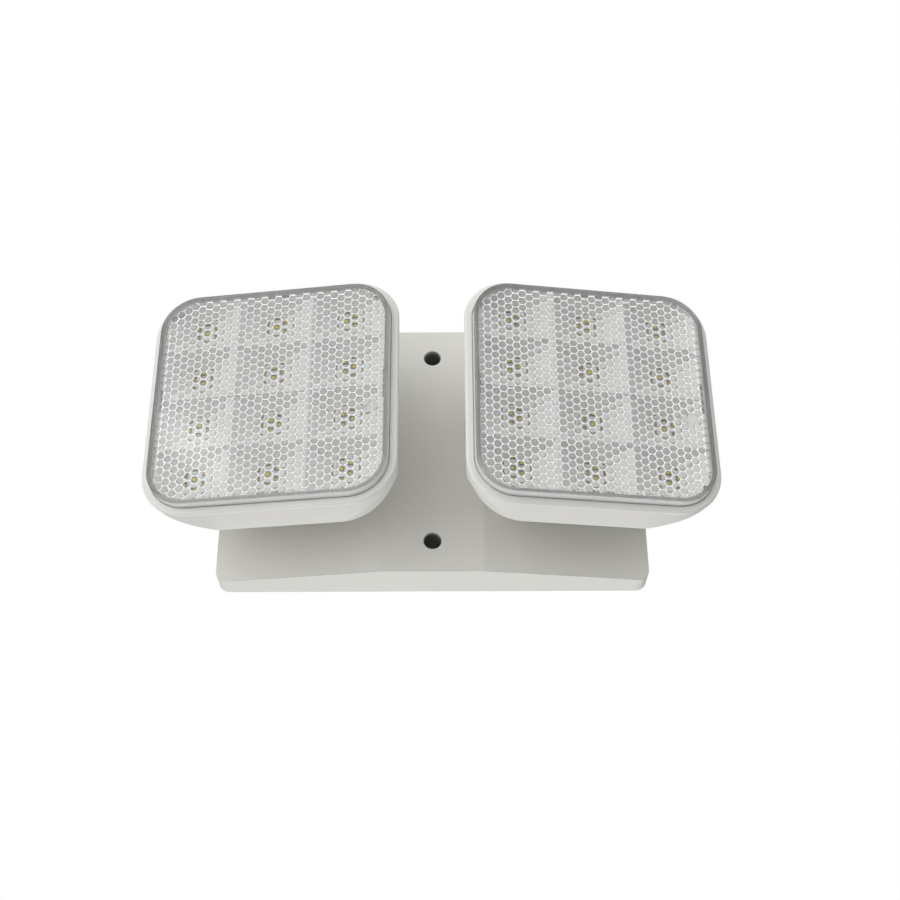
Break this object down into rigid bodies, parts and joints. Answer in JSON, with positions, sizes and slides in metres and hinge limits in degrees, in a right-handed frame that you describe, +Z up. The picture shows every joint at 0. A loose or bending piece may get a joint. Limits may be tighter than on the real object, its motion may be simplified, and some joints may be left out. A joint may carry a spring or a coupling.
{
  "type": "double remote lamp head",
  "caption": "Wall canopy with sloped wings that carries square lamp heads on pan and tilt swivels, each a clear honeycomb lens over a tray of flared LED cups.",
  "frame": {"origin": "centre of the back face of the canopy, in the plane of the wall", "axes": "+X to the right seen from the front, +Y into the wall, +Z up; the lamps face -Y"},
  "size_m": [0.2146, 0.0712, 0.109],
  "materials": {
    "canopy_plastic": "fine moulded matt, warm off-white",
    "housing_plastic": "fine moulded matt, warm off-white",
    "swivel_plastic": "fine moulded matt, warm off-white",
    "clear_lens": "clear polycarbonate, polished outside, honeycomb of pillows inside",
    "reflector_white": "bright white, satin",
    "board": "dark green solder mask",
    "led": "yellow phosphor face in a dark body",
    "zinc_steel": "bright zinc",
    "friction_fibre": "dark fibre",
    "connector_plastic": "ivory moulding"
  },
  "bodies": {
    "canopy": {"canopy": "canopy_plastic"},
    "left_swivel": {"left_swivel_base": "swivel_plastic", "left_wave_washer": "zinc_steel", "left_stop_washer": "zinc_steel", "left_swivel_nut": "zinc_steel", "left_tilt_screw": "zinc_steel", "left_tilt_nut": "zinc_steel", "left_friction_washers": "friction_fibre"},
    "left_head": {"left_head_housing": "housing_plastic", "left_lens": "clear_lens", "left_reflector": "reflector_white", "left_led_board": "board", "left_leds": "led", "left_board_screws": "zinc_steel", "left_lead_connector": "connector_plastic"},
    "right_swivel": {"right_swivel_base": "swivel_plastic", "right_wave_washer": "zinc_steel", "right_stop_washer": "zinc_steel", "right_swivel_nut": "zinc_steel", "right_tilt_screw": "zinc_steel", "right_tilt_nut": "zinc_steel", "right_friction_washers": "friction_fibre"},
    "right_head": {"right_head_housing": "housing_plastic", "right_lens": "clear_lens", "right_reflector": "reflector_white", "right_led_board": "board", "right_leds": "led", "right_board_screws": "zinc_steel", "right_lead_connector": "connector_plastic"}
  },
  "joints": [
    {"name": "left_pan", "type": "hinge", "parent": "canopy", "child": "left_swivel", "pos_m": [-0.0532, -0.01466, 0], "axis": [-0.1472, -0.9891, 0], "range_deg": [-170, 170]},
    {"name": "left_tilt", "type": "hinge", "parent": "left_swivel", "child": "left_head", "pos_m": [-0.05479, -0.02534, 0], "axis": [0.9891, -0.1472, 0], "range_deg": [-25, 25]},
    {"name": "right_pan", "type": "hinge", "parent": "canopy", "child": "right_swivel", "pos_m": [0.0532, -0.01466, 0], "axis": [0.1472, -0.9891, 0], "range_deg": [-170, 170]},
    {"name": "right_tilt", "type": "hinge", "parent": "right_swivel", "child": "right_head", "pos_m": [0.05479, -0.02534, 0], "axis": [0.9891, 0.1472, 0], "range_deg": [-25, 25]}
  ]
}
